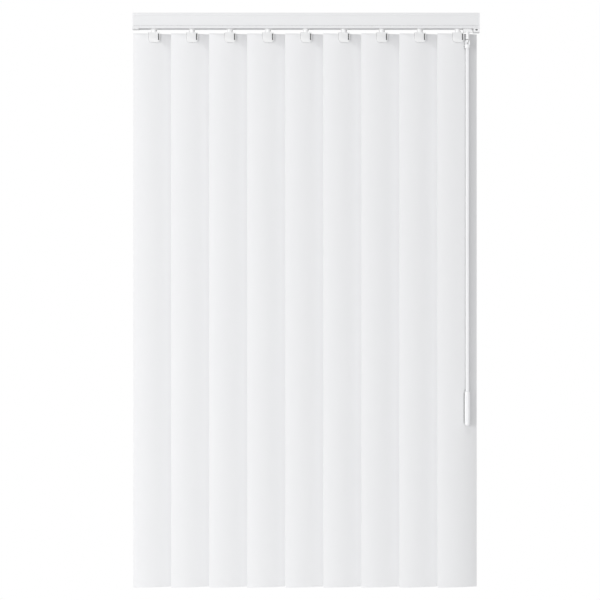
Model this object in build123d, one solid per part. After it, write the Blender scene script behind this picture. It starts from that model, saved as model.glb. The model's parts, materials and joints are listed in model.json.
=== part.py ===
from build123d import *
import os
from math import asin, cos, hypot, pi, sin

# A wand-controlled vertical blind with curved hard vanes that stack to the left.
# Millimetres. +X runs along the headrail to the right, the room is towards -Y, +Z is up.
# The origin is the middle of the ceiling holes, on the top face of the two brackets.

# --- Overall sizes ---
blind_width = 735.0  # headrail over both end caps
blind_drop = 1216.0  # ceiling down to the lower edges of the vanes
vane_count = 9

# --- Headrail section ---
ceiling_gap = 0.4
rail_height = 32.8
rail_depth = 39.4
rail_wall = 1.3
band_height = 4.9  # set-back band along the top of the face
band_step = 0.9
band_round = 1.4
face_slope = 1.5  # slanted strip from the band out to the flat face
groove_height = 0.8
groove_depth = 0.5
foot_height = 4.8  # narrow band along the bottom of the face
foot_round = 1.8
recess_depth = 3.5  # open channel in the top of the rail
lip_reach = 3.9  # lips that hang on the brackets

# --- End caps ---
cap_plate = 2.5
plug_length = 10.0
plug_wall = 1.6
plug_gap = 0.2
boss_wall = 2.0
tongue_length = 13.5
tongue_thickness = 1.2
tongue_side = 3.0  # the tongue is this much narrower than the rail on each side
nub_height = 7.6  # block under the right cap, with a stopper in its front
stopper_width = 5.0
stopper_height = 2.8
stopper_length = 6.0
stopper_recess = 0.5
stopper_fit = 0.05
stopper_inset = 7.0
stopper_drop = 3.1
arm_thickness = 3.0
arm_height = 8.0

# --- Ceiling brackets ---
bracket_inset = 87.5
bracket_length = 32.0
bracket_steel = 1.2
bracket_hole_spacing = 16.0
bracket_hole_r = 2.25
bracket_foot = 3.0
bracket_side_gap = 0.3

# --- Tilt rod, worms and wheels ---
rod_r = 3.0
rod_grooves = 3
rod_groove_r = 0.9
rod_end_gap = 0.3
running_fit = 0.06  # radial clearance of every shaft in its bearing
key_fit = 0.1
rod_hole_gap = 0.3
worm_wall = 1.0
wheel_tip_r = 5.6
wheel_teeth = 16
wheel_height = 8.0
gear_teeth = 12
tooth_depth = 0.7
mesh_gap = 0.3

# --- Carriers ---
carrier_length = 18.9
carrier_wall = 3.2
carrier_floor = 3.0
carrier_side_gap = 0.3
carrier_height = 22.4
glide_gap = 0.1
pocket_gap = 0.4
axial_gap = 0.1

# --- Spacer strips that set the distance between carriers ---
strip_thickness = 0.4
strip_height = 5.0
strip_gap = 0.3
strip_foot_length = 12.0
strip_foot_depth = 4.0
strip_hook = 2.0
lane_pitch = 1.1
lane_margin = 1.8
bridge_length = 2.5
bridge_overhang = 0.45

# --- Stems ---
shank_r = 4.4
neck_r = 6.4
slot_gap = 1.6  # neck to the edges of the slot in the floor of the rail
clip_width = 24.4
clip_front = 3.0
clip_back = 3.0
clip_front_gap = 0.7
clip_back_gap = 0.8
clip_round = 7.0
front_leg_length = 18.4
back_leg_length = 16.8
shoulder_height = 2.4
slit_inset = 1.4  # rib left between the slit and the right edge of the front leg
slit_width = 2.8
slit_length = 13.3
peg_width = 4.4
peg_height = 2.7
peg_gap = 0.3

# --- Vanes ---
vane_hang = 9.9  # underside of the rail down to the top edges of the vanes
vane_width = 89.0
vane_bow = 5.0
vane_thickness = 0.8
vane_slot_width = 21.8
vane_slot_height = 8.8
vane_slot_drop = 5.0
vane_head_gap = 0.3
closed_tilt = 18.0  # left edges towards the room

# --- Wand ---
wand_carrier_gap = 1.6  # last vane carrier to the wand's carrier
wand_end_gap = 3.05  # wand's carrier to the plug of the end cap
nose_side = 0.1
nose_gap = 1.0
nose_clear = 0.5  # nose above the shoulder of the last clip
spindle_r = 3.6
spindle_hang = 21.2  # underside of the rail down to the end of the spindle
hook_r = 1.2
hook_reach = 3.3
hook_bend = 1.5
hook_tip = 4.5
hook_length = 6.5  # end of the spindle down to the hook pin, the pivot of the wand
eye_r = 5.3
eye_thickness = 3.0
eye_gap = 0.3
eye_hole_stretch = 3.0
neck_length = 6.0  # pivot down to the socket
socket_r = 6.3
socket_length = 6.5
socket_roof = 2.0
wand_corner_r = 4.2
wand_fit = 0.1
wand_length = 813.0  # pivot down to the end of the grip
grip_r = 6.4
grip_length = 73.0
grip_round = 4.4
grip_chamfer = 1.0
grip_flutes = 10
grip_flute_r = 1.2
grip_flute_depth = 0.5
grip_flute_margin = 8.0
grip_floor = 12.0

# --- Places that follow from the sizes above ---
blind_end = blind_width / 2
rail_end = blind_end - cap_plate
last_strip = vane_count - 1
wand_offset = carrier_length + wand_carrier_gap
stem_inset = cap_plate + plug_length + wand_end_gap + carrier_length / 2 + wand_offset
vane_pitch = (blind_width - 2 * stem_inset) / last_strip
stem_x = [-blind_end + stem_inset + i * vane_pitch for i in range(vane_count)]
wand_x = stem_x[-1] + wand_offset
bracket_x = blind_end - bracket_inset

slot_width = 2 * (neck_r + slot_gap)
rail_top = -ceiling_gap
rail_bottom = rail_top - rail_height
face_y = rail_depth / 2
groove_y = face_y - groove_depth
inner_y = face_y - rail_wall
band_y = face_y - band_step
recess_y = band_y - rail_wall
lip_y = recess_y - lip_reach
lip_bottom = rail_top - rail_wall
web_top = rail_top - recess_depth
web_bottom = web_top - rail_wall
floor_top = rail_bottom + rail_wall

carrier_y = inner_y - carrier_side_gap
carrier_bottom = floor_top + glide_gap
carrier_top = carrier_bottom + carrier_height
bed = carrier_bottom + carrier_floor
wheel_bottom = bed + axial_gap
wheel_top = wheel_bottom + wheel_height
worm_r = rod_r + worm_wall
rod_y = wheel_tip_r + worm_r + mesh_gap
wheel_root_r = wheel_tip_r - tooth_depth
gear_tip_r = (rod_y - mesh_gap) / 2
gear_root_r = gear_tip_r - tooth_depth
rod_z = (wheel_bottom + wheel_top) / 2
pocket_r = wheel_tip_r + pocket_gap
worm_pocket = carrier_length - 2 * carrier_wall
worm_length = worm_pocket - 2 * axial_gap

bridge_height = strip_height / 2 - strip_gap
strip_top = carrier_top - bridge_height - strip_gap
strip_bottom = strip_top - strip_height
shelf = strip_bottom - strip_gap
channel_y = -(pocket_r + lane_margin / 2)

neck_top = carrier_bottom - axial_gap
vane_head = rail_bottom - vane_hang
shoulder_bottom = vane_head + vane_head_gap
shoulder_top = shoulder_bottom + shoulder_height
peg_top = vane_head - vane_slot_drop
bow_r = ((vane_width / 2) ** 2 + vane_bow**2) / (2 * vane_bow)

spindle_end = rail_bottom - spindle_hang
pivot_z = spindle_end - hook_length
socket_top = pivot_z - neck_length
socket_bottom = socket_top - socket_length
wand_top = socket_top - socket_roof
grip_bottom = pivot_z - wand_length
grip_top = grip_bottom + grip_length


def block(x0, x1, y0, y1, z0, z1):
    """A rectangular block between two corners."""
    return Pos((x0 + x1) / 2, (y0 + y1) / 2, (z0 + z1) / 2) * Box(x1 - x0, y1 - y0, z1 - z0)


def upright(x, y, radius, z0, z1):
    """A vertical round bar."""
    return Pos(x, y, (z0 + z1) / 2) * Cylinder(radius, z1 - z0)


def crosswise(x0, x1, y, z, radius):
    """A round bar that lies along X."""
    return Pos((x0 + x1) / 2, y, z) * Rot(0, 90, 0) * Cylinder(radius, x1 - x0)


def along_rail(section, x0, x1):
    """A section in (y, z), drawn out along X."""
    return extrude(Plane.YZ.offset(x0) * section, x1 - x0)


def rounded(face, corners, radius):
    """The face with the corners at the given places rounded."""
    near = [v for v in face.vertices() if any(hypot(v.X - a, v.Y - b) < 0.01 for a, b in corners)]
    return fillet(near, radius)


def outline(points):
    """A flat face with straight sides."""
    return make_face(Polyline(points, close=True))


def lane_y(strip):
    """The place across the rail of one spacer strip: each strip runs in its own lane."""
    return -(pocket_r + lane_margin + lane_pitch * (last_strip - strip))


def gear_outline(tip_r, root_r, teeth):
    """A toothed disc with plain tapered teeth."""
    step = 2 * pi / teeth
    points = []
    for k in range(teeth):
        for share, radius in ((-0.30, root_r), (-0.16, tip_r), (0.16, tip_r), (0.30, root_r)):
            angle = (k + share) * step
            points.append((radius * cos(angle), radius * sin(angle)))
    return outline(points)


def rail_side():
    """The outside of the rail from its top lip down to the floor, on the room side."""
    band_bottom = rail_top - band_height
    foot_top = rail_bottom + foot_height
    return [
        (-band_y, rail_top),
        (-band_y, band_bottom),
        (-face_y, band_bottom - face_slope),
        (-face_y, foot_top + groove_height),
        (-groove_y, foot_top + groove_height),
        (-groove_y, foot_top),
        (-face_y, foot_top),
        (-face_y, rail_bottom),
    ]


def both_sides(points):
    """A face from the points of its room side, with its outer corners rounded, and its mirror image."""
    half = outline(points)
    half = rounded(half, [(-band_y, rail_top)], band_round)
    half = rounded(half, [(-face_y, rail_bottom)], foot_round)
    return half + mirror(half, about=Plane.YZ)


def headrail():
    """An extruded channel with a recess on top and a slot in its floor."""
    recess = [
        (0, web_top),
        (-recess_y, web_top),
        (-recess_y, lip_bottom),
        (-lip_y, lip_bottom),
        (-lip_y, rail_top),
    ]
    inside = [
        (-slot_width / 2, rail_bottom),
        (-slot_width / 2, floor_top),
        (-inner_y, floor_top),
        (-inner_y, web_bottom),
        (0, web_bottom),
    ]
    return along_rail(both_sides(recess + rail_side() + inside), -rail_end, rail_end)


def end_cap():
    """What both end caps share: a plate, a plug with the rod bearing, and a tongue under the rail."""
    plate_outline = both_sides([(0, rail_top)] + rail_side() + [(0, rail_bottom)])
    plate = along_rail(plate_outline, rail_end, blind_end)
    plug_x = rail_end - plug_length
    plug_y = inner_y - plug_gap
    plug_z0 = floor_top + plug_gap
    plug_z1 = web_bottom - plug_gap
    plug = block(plug_x, rail_end, -plug_y, plug_y, plug_z0, plug_z1)
    plug -= block(
        plug_x, rail_end, plug_wall - plug_y, plug_y - plug_wall, plug_z0 + plug_wall, plug_z1 - plug_wall
    )
    plug -= block(plug_x, rail_end, -slot_width / 2, slot_width / 2, plug_z0, plug_z0 + plug_wall)
    boss_r = rod_r + running_fit + boss_wall
    plug += crosswise(plug_x, rail_end, rod_y, rod_z, boss_r)
    plug += block(plug_x, rail_end, rod_y, plug_y, rod_z - boss_wall / 2, rod_z + boss_wall / 2)
    tongue_y = face_y - tongue_side
    tongue_z = rail_bottom - tongue_thickness
    tongue = block(blind_end - tongue_length, blind_end, -tongue_y, tongue_y, tongue_z, rail_bottom)
    cap = plate + plug + tongue
    cap -= crosswise(plug_x, rail_end, rod_y, rod_z, rod_r + running_fit)
    return cap


def stopper(fit, recess):
    """The oval stopper in the front of the right cap, or the hole that it closes."""
    oval = SlotOverall(stopper_width + 2 * fit, stopper_height + 2 * fit)
    place = Plane.XZ.offset(face_y - tongue_side - recess)
    at = Pos(blind_end - stopper_inset, rail_bottom - stopper_drop)
    return extrude(place * at * oval, -stopper_length - stopper_recess + recess)


def right_end_cap():
    """The right end cap, with the block under it that holds the stopper."""
    nub_y = face_y - tongue_side
    nub = block(blind_end - tongue_length, blind_end, -nub_y, nub_y, rail_bottom - nub_height, rail_bottom)
    return end_cap() + nub - stopper(stopper_fit, 0)


def left_end_cap():
    """The left end cap, with the arm that holds the first carrier."""
    cap = mirror(end_cap(), about=Plane.YZ)
    arm_y = inner_y - plug_gap
    arm_z = floor_top + plug_gap
    arm_x = stem_x[0] - carrier_length / 2
    cap += block(-rail_end, arm_x, -arm_y, arm_thickness - arm_y, arm_z, arm_z + arm_height)
    return cap


def bracket(x):
    """A folded steel ceiling bracket whose feet carry the lips of the rail."""
    side = lip_y - bracket_side_gap
    foot = side + bracket_foot
    foot_bottom = lip_bottom - bracket_steel
    half = outline(
        [
            (0, 0),
            (-side, 0),
            (-side, lip_bottom),
            (-foot, lip_bottom),
            (-foot, foot_bottom),
            (bracket_steel - side, foot_bottom),
            (bracket_steel - side, -bracket_steel),
            (0, -bracket_steel),
        ]
    )
    section = half + mirror(half, about=Plane.YZ)
    body = along_rail(section, x - bracket_length / 2, x + bracket_length / 2)
    for y in (-bracket_hole_spacing / 2, bracket_hole_spacing / 2):
        body -= upright(x, y, bracket_hole_r, -bracket_steel, 0)
    return body


def grooves(radius):
    """The round grooves of the tilt rod, or the keys that run in them."""
    ring = [Rot(0, 0, 90 + k * 360 / rod_grooves) * Pos(rod_r, 0) for k in range(rod_grooves)]
    return Sketch() + [place * Circle(radius) for place in ring]


def tilt_rod():
    """The grooved rod that turns all the worms."""
    end = rail_end - rod_end_gap
    section = Circle(rod_r) - grooves(rod_groove_r)
    return along_rail(Pos(rod_y, rod_z) * section, -end, end)


def on_rod(x, body_outline):
    """A piece that slides along the tilt rod and turns with it."""
    bore = Circle(rod_r + running_fit) - grooves(rod_groove_r - key_fit)
    section = Pos(rod_y, rod_z) * (body_outline - bore)
    return along_rail(section, x - worm_length / 2, x + worm_length / 2)


def carrier_body(x, gear_r, well_r):
    """The moulded block shared by all carriers, open on top, with its strip channel and rod holes."""
    x0 = x - carrier_length / 2
    x1 = x + carrier_length / 2
    body = block(x0, x1, -carrier_y, carrier_y, carrier_bottom, carrier_top)
    body -= block(x0, x1, -carrier_y, channel_y, shelf, carrier_top)
    body -= upright(x, 0, well_r, bed, carrier_top)
    pocket_x0 = x - worm_pocket / 2
    pocket_x1 = x + worm_pocket / 2
    half = gear_r + pocket_gap
    body -= crosswise(pocket_x0, pocket_x1, rod_y, rod_z, half)
    body -= block(pocket_x0, pocket_x1, rod_y - half, rod_y + half, rod_z, carrier_top)
    body -= crosswise(x0, x1, rod_y, rod_z, rod_r + rod_hole_gap)
    return body


def carrier(i):
    """One vane carrier: a bearing for its stem, a foot slit for its own strip, a bridge for the last one."""
    x = stem_x[i]
    body = carrier_body(x, worm_r, pocket_r)
    body -= upright(x, 0, shank_r + running_fit, carrier_bottom, bed)
    if i < last_strip:
        y = lane_y(i + 1)
        foot = strip_foot_length / 2
        body -= block(
            x - foot,
            x + foot,
            y - strip_thickness / 2,
            y + strip_thickness / 2,
            strip_bottom - strip_foot_depth,
            shelf,
        )
    if i > 0:
        x1 = x + carrier_length / 2
        tip = lane_y(i) - bridge_overhang
        body += block(x1 - bridge_length, x1, tip, channel_y, carrier_top - bridge_height, carrier_top)
    return body


def spacer(i):
    """The strip between carrier i and the next: its foot is held, its hook draws the next carrier."""
    x0 = stem_x[i] - strip_foot_length / 2
    x1 = stem_x[i] + strip_foot_length / 2
    hook_x = stem_x[i + 1] + carrier_length / 2 + strip_gap
    foot_z = strip_bottom - strip_foot_depth
    hook_top = carrier_top - strip_gap
    side = outline(
        [
            (x0, foot_z),
            (x1, foot_z),
            (x1, strip_bottom),
            (hook_x + strip_hook, strip_bottom),
            (hook_x + strip_hook, hook_top),
            (hook_x, hook_top),
            (hook_x, strip_top),
            (x0, strip_top),
        ]
    )
    y = lane_y(i + 1)
    return extrude(Plane.XZ.offset(-y - strip_thickness / 2) * side, strip_thickness)


def leg(length, y0, y1):
    """One flat leg of the vane clip, with a rounded lower end, on the stem's own axis."""
    half = clip_width / 2
    bottom = shoulder_bottom - length
    side = outline([(-half, shoulder_bottom), (-half, bottom), (half, bottom), (half, shoulder_bottom)])
    side = rounded(side, [(-half, bottom), (half, bottom)], clip_round)
    return extrude(Plane.XZ.offset(-y1) * side, y1 - y0)


def stem(x):
    """The toothed stem of one vane: worm wheel, shank, neck, and the clip with its peg."""
    wheel = Plane.XY.offset(wheel_bottom) * gear_outline(wheel_tip_r, wheel_root_r, wheel_teeth)
    body = extrude(wheel, wheel_height)
    body += upright(0, 0, shank_r, neck_top, wheel_bottom)
    body += upright(0, 0, neck_r, shoulder_top, neck_top)
    half = clip_width / 2
    body += block(-half, half, -clip_front, clip_back, shoulder_bottom, shoulder_top)
    body += leg(front_leg_length, -clip_front, -clip_front_gap)
    slit_x = half - slit_inset
    slit_end = shoulder_bottom - slit_length
    body -= block(slit_x - slit_width, slit_x, -clip_front, -clip_front_gap, slit_end, shoulder_bottom)
    body += leg(back_leg_length, clip_back_gap, clip_back)
    peg_tip = peg_gap - clip_front_gap
    body += block(-peg_width / 2, peg_width / 2, peg_tip, clip_back_gap, peg_top - peg_height, peg_top)
    return Pos(x, 0, 0) * Rot(0, 0, closed_tilt) * body


def bow_arc(radius):
    """The three points of one curved face of the vane, seen from above."""
    half_angle = asin(vane_width / 2 / bow_r)
    return [(radius * sin(a), bow_r - radius * cos(a)) for a in (-half_angle, 0, half_angle)]


def vane(x):
    """One curved vane, hung by the slot near its top edge."""
    outer = bow_arc(bow_r + vane_thickness / 2)
    inner = bow_arc(bow_r - vane_thickness / 2)
    edge = [ThreePointArc(*outer), Line(outer[2], inner[2]), ThreePointArc(*inner), Line(inner[0], outer[0])]
    section = make_face(Curve() + edge)
    body = extrude(Plane.XY.offset(-blind_drop) * section, blind_drop + vane_head)
    half = vane_slot_width / 2
    body -= block(-half, half, -vane_bow, vane_bow, peg_top - vane_slot_height, peg_top)
    return Pos(x, 0, 0) * Rot(0, 0, closed_tilt) * body


def wand_carrier():
    """The carrier of the wand: a bearing for the spindle, which reaches down through the slot as a nose."""
    body = carrier_body(wand_x, gear_tip_r, gear_tip_r + pocket_gap)
    half_x = carrier_length / 2 - nose_side
    half_y = slot_width / 2 - nose_gap
    nose_bottom = shoulder_top + nose_clear
    body += block(wand_x - half_x, wand_x + half_x, -half_y, half_y, nose_bottom, carrier_bottom)
    body -= upright(wand_x, 0, spindle_r + running_fit, nose_bottom, bed)
    return body


def wand_spindle():
    """The spindle that the wand turns, with a hook at its lower end."""
    gear = Plane.XY.offset(wheel_bottom) * gear_outline(gear_tip_r, gear_root_r, gear_teeth)
    body = extrude(gear, wheel_height)
    body += upright(0, 0, spindle_r, spindle_end, wheel_bottom)
    route = FilletPolyline(
        (0, hook_reach, spindle_end),
        (0, hook_reach, pivot_z),
        (0, -hook_reach, pivot_z),
        (0, -hook_reach, pivot_z + hook_tip),
        radius=hook_bend,
    )
    body += sweep(Plane(origin=route @ 0, z_dir=route % 0) * Circle(hook_r), path=route)
    return Pos(wand_x, 0, 0) * body


def wand_eye():
    """The cap of the wand: a flat eye on the hook and a socket for the hexagonal rod."""
    half = eye_thickness / 2
    flat = Pos(0, pivot_z) * Circle(eye_r)
    flat += Pos(0, (pivot_z + socket_top) / 2) * Rectangle(2 * eye_r, neck_length)
    hole_r = hook_r + eye_gap
    hole = Pos(0, pivot_z) * Circle(hole_r)
    hole += Pos(0, pivot_z - eye_hole_stretch) * Circle(hole_r)
    hole += Pos(0, pivot_z - eye_hole_stretch / 2) * Rectangle(2 * hole_r, eye_hole_stretch)
    body = extrude(Plane.XZ.offset(-half) * (flat - hole), eye_thickness)
    body += upright(0, 0, socket_r, socket_bottom, socket_top)
    bore = hexagon(wand_corner_r + wand_fit)
    body -= extrude(Plane.XY.offset(socket_bottom) * bore, wand_top - socket_bottom)
    return Pos(wand_x, 0, 0) * body


def hexagon(corner_r):
    """The outline of the wand's rod, one flat towards the room."""
    return RegularPolygon(corner_r, 6)


def wand_rod():
    """The hexagonal rod of the wand."""
    bottom = grip_bottom + grip_floor
    rod = extrude(Plane.XY.offset(bottom) * hexagon(wand_corner_r), wand_top - bottom)
    return Pos(wand_x, 0, 0) * rod


def wand_grip():
    """The fluted grip pushed onto the lower end of the rod."""
    body = upright(0, 0, grip_r, grip_bottom, grip_top)
    body = fillet(body.edges().sort_by(Axis.Z)[0], grip_round)
    body = chamfer(body.edges().sort_by(Axis.Z)[-1], grip_chamfer)
    flute_x = grip_r + grip_flute_r - grip_flute_depth
    flute = upright(flute_x, 0, grip_flute_r, grip_bottom + grip_flute_margin, grip_top - grip_flute_margin)
    for k in range(grip_flutes):
        body -= Rot(0, 0, k * 360 / grip_flutes) * flute
    bore = hexagon(wand_corner_r + wand_fit)
    body -= extrude(Plane.XY.offset(grip_bottom + grip_floor) * bore, grip_length - grip_floor)
    return Pos(wand_x, 0, 0) * body


def all_nodes():
    """Every piece of the blind by its name."""
    nodes = {
        "headrail": headrail(),
        "end_cap_left": left_end_cap(),
        "end_cap_right": right_end_cap(),
        "cap_stopper": stopper(0, stopper_recess),
        "bracket_left": bracket(-bracket_x),
        "bracket_right": bracket(bracket_x),
        "tilt_rod": tilt_rod(),
    }
    for i, x in enumerate(stem_x):
        number = i + 1
        nodes[f"carrier_{number}"] = carrier(i)
        nodes[f"worm_{number}"] = on_rod(x, Circle(worm_r))
        nodes[f"stem_{number}"] = stem(x)
        nodes[f"vane_{number}"] = vane(x)
    for i in range(last_strip):
        nodes[f"spacer_{i + 1}"] = spacer(i)
    nodes["wand_carrier"] = wand_carrier()
    nodes["wand_gear"] = on_rod(wand_x, gear_outline(gear_tip_r, gear_root_r, gear_teeth))
    nodes["wand_spindle"] = wand_spindle()
    nodes["wand_eye"] = wand_eye()
    nodes["wand_rod"] = wand_rod()
    nodes["wand_grip"] = wand_grip()
    return nodes


os.makedirs("parts", exist_ok=True)
for name, shape in all_nodes().items():
    export_step(shape, f"parts/{name}.step")
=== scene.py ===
import json
from math import asin, cos, pi, radians, sin

import bmesh
import bpy
from mathutils import Matrix, Vector


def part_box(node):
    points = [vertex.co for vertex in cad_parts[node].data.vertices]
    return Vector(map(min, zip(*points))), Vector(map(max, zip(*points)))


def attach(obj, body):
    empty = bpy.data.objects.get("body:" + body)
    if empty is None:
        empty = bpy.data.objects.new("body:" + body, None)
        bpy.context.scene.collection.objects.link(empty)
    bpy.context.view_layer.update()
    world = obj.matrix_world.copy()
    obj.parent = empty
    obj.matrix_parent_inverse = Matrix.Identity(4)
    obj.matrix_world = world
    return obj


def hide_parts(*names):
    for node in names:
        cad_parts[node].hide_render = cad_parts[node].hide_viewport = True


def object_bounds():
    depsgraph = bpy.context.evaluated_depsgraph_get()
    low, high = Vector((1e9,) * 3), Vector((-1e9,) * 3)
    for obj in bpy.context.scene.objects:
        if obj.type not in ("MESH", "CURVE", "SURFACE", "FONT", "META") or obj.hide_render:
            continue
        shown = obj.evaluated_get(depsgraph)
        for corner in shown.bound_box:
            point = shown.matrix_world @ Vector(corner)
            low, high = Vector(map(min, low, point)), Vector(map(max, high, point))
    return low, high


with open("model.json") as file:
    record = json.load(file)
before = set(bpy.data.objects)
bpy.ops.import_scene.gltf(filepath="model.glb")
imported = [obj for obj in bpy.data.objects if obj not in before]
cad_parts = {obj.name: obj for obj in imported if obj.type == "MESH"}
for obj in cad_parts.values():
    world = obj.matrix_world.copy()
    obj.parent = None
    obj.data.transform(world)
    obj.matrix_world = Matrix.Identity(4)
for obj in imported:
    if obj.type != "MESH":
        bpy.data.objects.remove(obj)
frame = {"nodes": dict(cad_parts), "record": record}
cad_low, cad_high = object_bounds()
nodes = frame["nodes"]

MM = 0.001

# Vanes
VANES = 9
CLOSED_TILT = radians(18.0)
VANE_WIDTH = 89.0 * MM
VANE_BOW = 5.0 * MM
VANE_THICKNESS = 0.8 * MM
VANE_STEPS = 28  # faces across a vane
SLOT_WIDTH = 21.8 * MM
SLOT_TOP = 5.0 * MM  # top edge of the vane down to its slot
SLOT_HEIGHT = 8.8 * MM

# Edge rounds
BEVEL_SEGMENTS = 2
BEVEL_ANGLE = radians(32)  # edges sharper than this are rounded

# Studio; lights in watts
ROOM_LIGHT = 0.51
LEFT_POWER = 152.0
LOW_POWER = 22.0
TOP_POWER = 45.0
BACK_POWER = 100.0
FLOOR_DROP = 0.6  # lower end of the vanes down to the floor
FLOOR_HALF = 2.5

# Camera
CAMERA_X = -0.01267
CAMERA_Z = -0.6073
CAMERA_DISTANCE = 6.0
VIEW_WIDTH = 1.2715  # width seen at the blind's distance
SENSOR_WIDTH = 36.0


# ---------------------------------------------------------------- materials


class Finish:
    """A Principled material with fine detail from the piece's own coordinates, in metres."""

    def __init__(self, name, color, roughness, metallic=0.0):
        self.material = bpy.data.materials.new(name)
        self.material.use_nodes = True
        self.tree = self.material.node_tree
        self.shader = self.tree.nodes["Principled BSDF"]
        self.color = color
        self.set("Base Color", (*color, 1.0))
        self.set("Roughness", roughness)
        self.set("Metallic", metallic)
        self.roughness = roughness
        self.place = self.tree.nodes.new("ShaderNodeTexCoord").outputs["Object"]
        self.bump_normal = None

    def set(self, socket, value):
        self.shader.inputs[socket].default_value = value

    def node(self, kind, **settings):
        made = self.tree.nodes.new(kind)
        for name, value in settings.items():
            setattr(made, name, value)
        return made

    def link(self, output, target):
        self.tree.links.new(output, target)

    def scaled(self, stretch):
        """Coordinates stretched by a factor along each axis."""
        mapping = self.node("ShaderNodeMapping")
        mapping.inputs["Scale"].default_value = stretch
        self.link(self.place, mapping.inputs["Vector"])
        return mapping.outputs["Vector"]

    def noise(self, size, detail=2.0, stretch=(1, 1, 1)):
        """Noise whose features are about size metres across, longer where stretch is under 1."""
        made = self.node("ShaderNodeTexNoise")
        made.inputs["Scale"].default_value = 1 / size
        made.inputs["Detail"].default_value = detail
        self.link(self.scaled(stretch), made.inputs["Vector"])
        return made.outputs["Fac"]

    def cells(self, size, stretch=(1, 1, 1)):
        """Soft-edged pebbles about size metres across."""
        made = self.node("ShaderNodeTexVoronoi", feature="SMOOTH_F1")
        made.inputs["Scale"].default_value = 1 / size
        made.inputs["Smoothness"].default_value = 0.6
        self.link(self.scaled(stretch), made.inputs["Vector"])
        return made.outputs["Distance"]

    def spread(self, value, low, high):
        """Maps a 0 to 1 pattern onto the range low to high."""
        made = self.node("ShaderNodeMapRange")
        made.inputs["To Min"].default_value = low
        made.inputs["To Max"].default_value = high
        self.link(value, made.inputs["Value"])
        return made.outputs["Result"]

    def vary_color(self, pattern, other, low=0.0, high=1.0):
        """Mixes the base colour towards another one by a pattern."""
        mix = self.node("ShaderNodeMix", data_type="RGBA")
        mix.inputs["A"].default_value = (*self.color, 1.0)
        mix.inputs["B"].default_value = (*other, 1.0)
        self.link(self.spread(pattern, low, high), mix.inputs["Factor"])
        self.link(mix.outputs["Result"], self.shader.inputs["Base Color"])

    def paint_gap_shade(self, reach, dark, low, high, own_walls=False):
        """Paints shade into narrow gaps, such as slits, whose walls are within reach metres:
        ambient occlusion darkens the base colour there.
        """
        # painted shade: occlusion from nearby walls is mixed into the base colour
        shade = self.node("ShaderNodeAmbientOcclusion", samples=8, only_local=own_walls)
        shade.inputs["Distance"].default_value = reach
        open_share = self.node("ShaderNodeMapRange")
        open_share.inputs["From Min"].default_value = low
        open_share.inputs["From Max"].default_value = high
        self.link(shade.outputs["AO"], open_share.inputs["Value"])
        mix = self.node("ShaderNodeMix", data_type="RGBA")
        mix.inputs["A"].default_value = (dark, dark, dark, 1.0)
        for link in list(self.shader.inputs["Base Color"].links):
            self.link(link.from_socket, mix.inputs["B"])
        self.link(open_share.outputs["Result"], mix.inputs["Factor"])
        self.link(mix.outputs["Result"], self.shader.inputs["Base Color"])

    def vary_roughness(self, pattern, amount):
        low, high = self.roughness - amount, self.roughness + amount
        self.link(self.spread(pattern, low, high), self.shader.inputs["Roughness"])

    def bump(self, pattern, height, strength=1.0):
        """Adds relief of about height metres; each call adds to the last."""
        made = self.node("ShaderNodeBump")
        made.inputs["Distance"].default_value = height
        made.inputs["Strength"].default_value = strength
        self.link(pattern, made.inputs["Height"])
        if self.bump_normal is not None:
            self.link(self.bump_normal, made.inputs["Normal"])
        self.bump_normal = made.outputs["Normal"]
        self.link(self.bump_normal, self.shader.inputs["Normal"])


def vane_pvc():
    """Extruded PVC, embossed with a fine pebble grain, with faint lines along its length."""
    f = Finish("vane_pvc", (0.875, 0.876, 0.882), 0.46)
    f.set("Specular IOR Level", 0.42)
    f.vary_color(f.noise(0.045, 3.0, (1, 1, 0.15)), (0.855, 0.857, 0.865))
    # painted shade: the vane's colour darkens in the clip slits and close beside the clip legs
    f.paint_gap_shade(0.006, 0.06, 0.3, 0.62)
    f.vary_roughness(f.noise(0.004, 3.0), 0.05)
    f.bump(f.cells(0.0011), 0.00003, 0.5)
    f.bump(f.noise(0.003, 2.0, (1, 1, 0.004)), 0.00006, 0.35)
    return f.material


def powder_coat():
    """White powder coat on the aluminium rail, with slight orange peel and die lines."""
    f = Finish("painted_rail", (0.80, 0.802, 0.808), 0.34)
    f.vary_color(f.noise(0.03, 3.0, (0.1, 1, 1)), (0.785, 0.788, 0.795))
    # painted shade: the rail's colour darkens in its own grooves and inner corners
    f.paint_gap_shade(0.004, 0.15, 0.3, 0.6, own_walls=True)
    f.vary_roughness(f.noise(0.005, 2.0), 0.05)
    f.bump(f.noise(0.0011, 2.0), 0.00002, 0.5)
    f.bump(f.noise(0.0022, 2.0, (0.004, 1, 1)), 0.00004, 0.3)
    return f.material


def moulded_cap():
    """White moulded plastic with a fine spark-eroded texture."""
    f = Finish("white_cap", (0.87, 0.872, 0.876), 0.45)
    f.vary_color(f.noise(0.01, 2.0), (0.855, 0.857, 0.862))
    f.vary_roughness(f.noise(0.002, 2.0), 0.06)
    f.bump(f.noise(0.0004, 3.0), 0.00002, 0.6)
    return f.material


def acetal(name, color, roughness, glow):
    """Smooth moulded acetal, translucent in its thin walls, with faint flow marks."""
    f = Finish(name, color, roughness)
    f.set("Subsurface Weight", glow)
    f.set("Subsurface Radius", (1.0, 1.0, 1.0))
    f.set("Subsurface Scale", 0.0015)
    f.vary_color(f.noise(0.006, 3.0), tuple(0.97 * c for c in color))
    # painted shade: the clip's colour darkens inside its slit and in narrow gaps between parts
    f.paint_gap_shade(0.006, 0.06, 0.25, 0.5)
    f.vary_roughness(f.noise(0.0015, 2.0), 0.05)
    f.bump(f.noise(0.0009, 3.0), 0.000012, 0.5)
    return f.material


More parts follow.
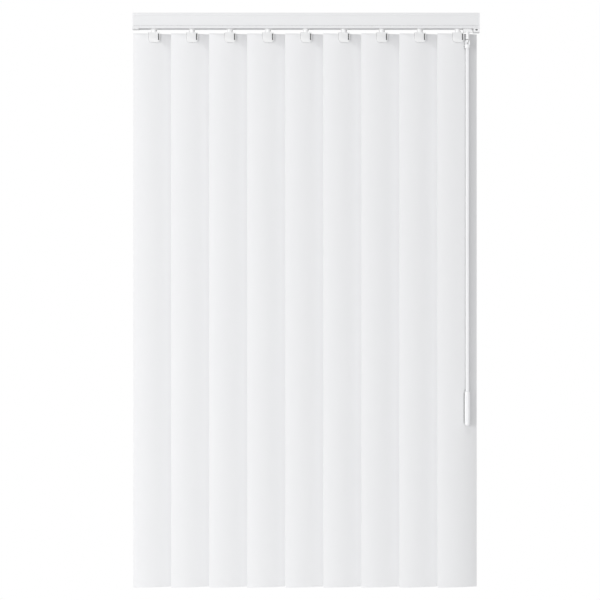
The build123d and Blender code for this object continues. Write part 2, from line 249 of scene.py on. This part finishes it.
def wand_plastic():
    """Extruded white plastic, satin, with draw lines along the rod."""
    f = Finish("wand_plastic", (0.87, 0.872, 0.88), 0.3)
    f.set("Subsurface Weight", 0.1)
    f.set("Subsurface Radius", (1.0, 1.0, 1.0))
    f.set("Subsurface Scale", 0.001)
    f.vary_color(f.noise(0.02, 2.0, (1, 1, 0.2)), (0.85, 0.853, 0.862))
    f.vary_roughness(f.noise(0.003, 2.0, (1, 1, 0.1)), 0.05)
    f.bump(f.noise(0.0012, 2.0, (1, 1, 0.01)), 0.00002, 0.5)
    return f.material


def zinc_plate():
    """Bright zinc-plated steel with a soft spangle and rolling marks."""
    f = Finish("zinc_steel", (0.66, 0.67, 0.69), 0.34, 1.0)
    f.vary_color(f.cells(0.004), (0.56, 0.575, 0.6))
    f.vary_roughness(f.noise(0.003, 3.0), 0.08)
    f.bump(f.noise(0.0006, 2.0, (0.05, 1, 1)), 0.00001, 0.5)
    return f.material


def dark_stopper():
    """Matt black moulded plastic."""
    f = Finish("dark_stopper", (0.03, 0.03, 0.032), 0.55)
    f.vary_color(f.noise(0.002, 2.0), (0.045, 0.045, 0.047))
    f.bump(f.noise(0.0003, 2.0), 0.00001, 0.5)
    return f.material


def drawn_metal(name, color, roughness):
    """Bright metal with draw lines along the headrail's direction."""
    f = Finish(name, color, roughness, 1.0)
    f.vary_color(f.noise(0.004, 3.0, (0.02, 1, 1)), tuple(0.86 * c for c in color))
    f.vary_roughness(f.noise(0.001, 3.0, (0.02, 1, 1)), 0.08)
    f.bump(f.noise(0.0004, 2.0, (0.01, 1, 1)), 0.00001, 0.5)
    return f.material


EDGE_ROUND = {
    "painted_rail": 0.3,
    "white_cap": 0.35,
    "dark_stopper": 0.2,
    "zinc_steel": 0.15,
    "rod_aluminium": 0.12,
    "spring_steel": 0.05,
    "white_acetal": 0.25,
    "natural_acetal": 0.2,
    "wand_plastic": 0.35,
    "vane_pvc": 0.22,
}

MATERIALS = {
    "painted_rail": powder_coat(),
    "white_cap": moulded_cap(),
    "dark_stopper": dark_stopper(),
    "zinc_steel": zinc_plate(),
    "rod_aluminium": drawn_metal("rod_aluminium", (0.78, 0.78, 0.79), 0.3),
    "spring_steel": drawn_metal("spring_steel", (0.62, 0.62, 0.63), 0.26),
    "white_acetal": acetal("white_acetal", (0.96, 0.96, 0.96), 0.34, 0.1),
    "natural_acetal": acetal("natural_acetal", (0.85, 0.85, 0.82), 0.38, 0.15),
    "wand_plastic": wand_plastic(),
    "vane_pvc": vane_pvc(),
}


def edge_round(piece, width):
    """Gives the sharp edges of a piece a small real round."""
    bevel = piece.modifiers.new("edge round", "BEVEL")
    bevel.width = width * MM
    bevel.segments = BEVEL_SEGMENTS
    bevel.limit_method = "ANGLE"
    bevel.angle_limit = BEVEL_ANGLE
    bevel.harden_normals = True


def finish_cad_nodes():
    """Gives every CAD node the material of its slot and rounds its sharp edges."""
    for entry in frame["record"]["subparts"]:
        name = entry["node"]
        mesh = nodes[name].data
        mesh.materials.clear()
        mesh.materials.append(MATERIALS[entry["material_slot"]])
        edge_round(nodes[name], EDGE_ROUND[entry["material_slot"]])


# ---------------------------------------------------------------- pieces


def mesh_object(name, bm, slot):
    """A new piece from a bmesh, in the material of a record slot."""
    mesh = bpy.data.meshes.new(name)
    bm.to_mesh(mesh)
    bm.free()
    mesh.materials.append(MATERIALS[slot])
    made = bpy.data.objects.new(name, mesh)
    bpy.context.scene.collection.objects.link(made)
    return made


def bowed_vane(number):
    """One vane as a smooth curved sheet with rounded edges and the slot that it hangs by."""
    name = f"vane_{number}"
    low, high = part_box(name)
    stem_low, stem_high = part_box(f"worm_{number}")
    stem_x = (stem_low.x + stem_high.x) / 2
    bow_r = ((VANE_WIDTH / 2) ** 2 + VANE_BOW**2) / (2 * VANE_BOW)
    half = asin(VANE_WIDTH / 2 / bow_r)
    slot = asin(SLOT_WIDTH / 2 / bow_r)
    even = [-half + 2 * half * i / VANE_STEPS for i in range(VANE_STEPS + 1)]
    angles = sorted(even + [-slot, slot])
    slot_top = high.z - SLOT_TOP
    heights = [high.z, slot_top, slot_top - SLOT_HEIGHT, (high.z + low.z) / 2, low.z]
    bm = bmesh.new()
    section = [(bow_r * sin(a), bow_r * (1 - cos(a))) for a in angles]
    rows = [[bm.verts.new((x, y, z)) for x, y in section] for z in heights]
    for j in range(len(heights) - 1):
        for i in range(len(angles) - 1):
            in_slot = j == 1 and abs(angles[i] + angles[i + 1]) / 2 < slot
            if not in_slot:
                bm.faces.new((rows[j][i], rows[j + 1][i], rows[j + 1][i + 1], rows[j][i + 1]))
    turn = Matrix.Rotation(CLOSED_TILT, 3, "Z")
    bmesh.ops.rotate(bm, verts=bm.verts, cent=(0, 0, 0), matrix=turn)
    bmesh.ops.translate(bm, verts=bm.verts, vec=(stem_x, 0, 0))
    for face in bm.faces:
        face.smooth = True
    piece = mesh_object(f"{name}_sheet", bm, "vane_pvc")
    thick = piece.modifiers.new("thickness", "SOLIDIFY")
    thick.thickness = VANE_THICKNESS
    thick.offset = 0
    edge_round(piece, EDGE_ROUND["vane_pvc"])
    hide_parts(name)
    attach(piece, f"hung_vane_{number}")


# ---------------------------------------------------------------- scene


def area_light(name, place, aim, size, power):
    data = bpy.data.lights.new(name, "AREA")
    data.shape = "RECTANGLE"
    data.size, data.size_y = size
    data.energy = power
    lamp = bpy.data.objects.new(name, data)
    lamp.location = place
    lamp.rotation_mode = "QUATERNION"
    lamp.rotation_quaternion = (Vector(aim) - Vector(place)).to_track_quat("-Z", "Y")
    bpy.context.scene.collection.objects.link(lamp)


def studio():
    """A pale floor below the blind in a white room, with most of the light from the left front."""
    world = bpy.data.worlds.new("studio")
    world.use_nodes = True
    tree = world.node_tree
    room = tree.nodes["Background"]
    room.inputs["Color"].default_value = (0.985, 0.99, 1.0, 1)
    room.inputs["Strength"].default_value = ROOM_LIGHT
    seen = tree.nodes.new("ShaderNodeBackground")
    seen.inputs["Color"].default_value = (1, 1, 1, 1)
    ray = tree.nodes.new("ShaderNodeLightPath")
    mix = tree.nodes.new("ShaderNodeMixShader")
    tree.links.new(ray.outputs["Is Camera Ray"], mix.inputs["Fac"])
    tree.links.new(room.outputs["Background"], mix.inputs[1])
    tree.links.new(seen.outputs["Background"], mix.inputs[2])
    tree.links.new(mix.outputs["Shader"], tree.nodes["World Output"].inputs["Surface"])
    bpy.context.scene.world = world
    bm = bmesh.new()
    bmesh.ops.create_grid(bm, x_segments=1, y_segments=1, size=FLOOR_HALF)
    mesh = bpy.data.meshes.new("floor")
    bm.to_mesh(mesh)
    bm.free()
    floor = bpy.data.objects.new("floor", mesh)
    floor.location = (0, 0, cad_low.z - FLOOR_DROP)
    bpy.context.scene.collection.objects.link(floor)
    f = Finish("floor", (0.93, 0.93, 0.93), 0.7)
    f.vary_roughness(f.noise(0.05, 3.0), 0.05)
    mesh.materials.append(f.material)
    middle = (cad_low + cad_high) / 2
    area_light("left", (-3.6, -4.6, -0.3), middle, (2.0, 3.0), LEFT_POWER)
    area_light("low", (-0.6, -5.0, -1.6), (0, 0, -0.1), (3.0, 0.4), LOW_POWER)
    area_light("top", (0.0, -3.4, 4.2), (0, 0, -0.1), (3.0, 0.4), TOP_POWER)
    area_light("back", (2.5, 5.0, 0.5), middle, (2.5, 2.5), BACK_POWER)


def camera():
    """A level camera well in front of the blind, at half its height."""
    data = bpy.data.cameras.new("camera")
    data.sensor_width = SENSOR_WIDTH
    data.lens = SENSOR_WIDTH * CAMERA_DISTANCE / VIEW_WIDTH
    made = bpy.data.objects.new("camera", data)
    made.location = (CAMERA_X, -CAMERA_DISTANCE, CAMERA_Z)
    made.rotation_euler = (pi / 2, 0, 0)
    bpy.context.scene.collection.objects.link(made)
    bpy.context.scene.camera = made


bpy.context.scene.view_settings.view_transform = "Standard"
finish_cad_nodes()
for number in range(1, VANES + 1):
    bowed_vane(number)
studio()
camera()
